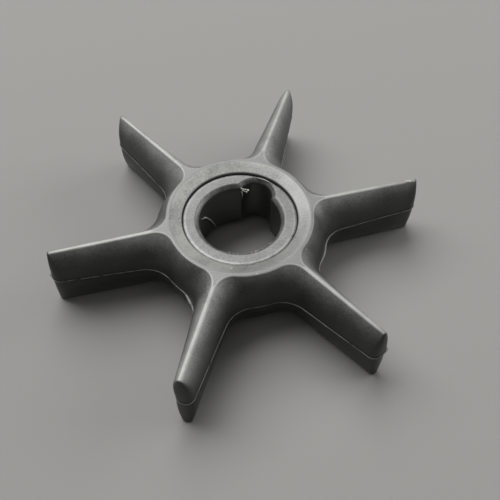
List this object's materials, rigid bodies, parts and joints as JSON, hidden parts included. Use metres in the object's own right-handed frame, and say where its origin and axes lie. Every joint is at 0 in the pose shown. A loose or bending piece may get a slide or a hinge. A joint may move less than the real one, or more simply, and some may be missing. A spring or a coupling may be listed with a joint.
{
  "type": "rubber pump impeller",
  "caption": "Flexible rubber water pump impeller with straight radial vanes and a keyed bush bonded in its hub.",
  "frame": {"origin": "centre of the lower face, on the shaft axis", "axes": "+Z along the shaft axis, up through the bush; +X along one vane"},
  "size_m": [0.051, 0.0446, 0.0102],
  "materials": {
    "rubber": "satin moulded nitrile rubber",
    "bush": "satin black moulded plastic"
  },
  "bodies": {
    "root": {"impeller_rubber": "rubber", "hub_bush": "bush"}
  },
  "joints": []
}
